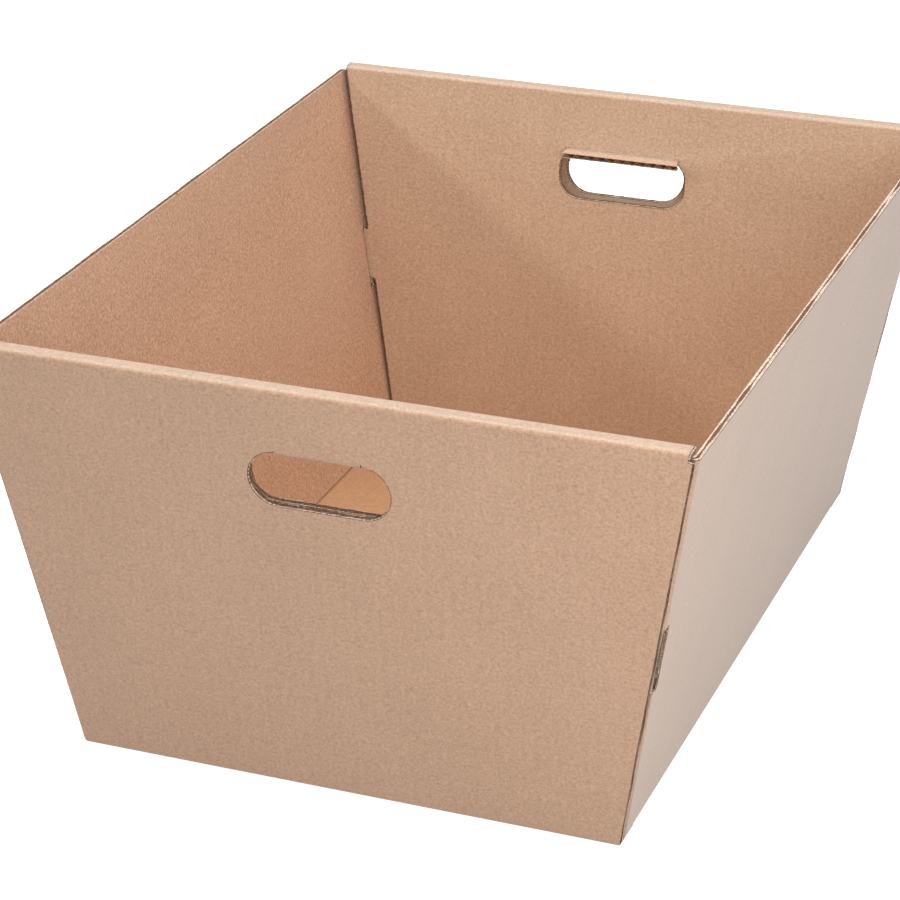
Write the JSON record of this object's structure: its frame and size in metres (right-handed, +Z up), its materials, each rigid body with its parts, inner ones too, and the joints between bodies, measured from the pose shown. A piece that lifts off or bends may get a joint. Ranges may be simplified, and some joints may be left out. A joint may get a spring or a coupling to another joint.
{
  "type": "cardboard tray box",
  "caption": "Open, outward-tapering tray folded from one sheet of brown corrugated board, with rolled-over double end walls, locking tabs and a hand-hole in each end.",
  "frame": {"origin": "middle of the underside of the floor", "axes": "+Z up out of the open top, +Y along the tray to the back end wall, +X to the right side wall"},
  "size_m": [0.462, 0.5902, 0.283],
  "materials": {
    "kraft_board": "matt brown kraft liner"
  },
  "bodies": {
    "root": {"tray": "kraft_board"}
  },
  "joints": []
}
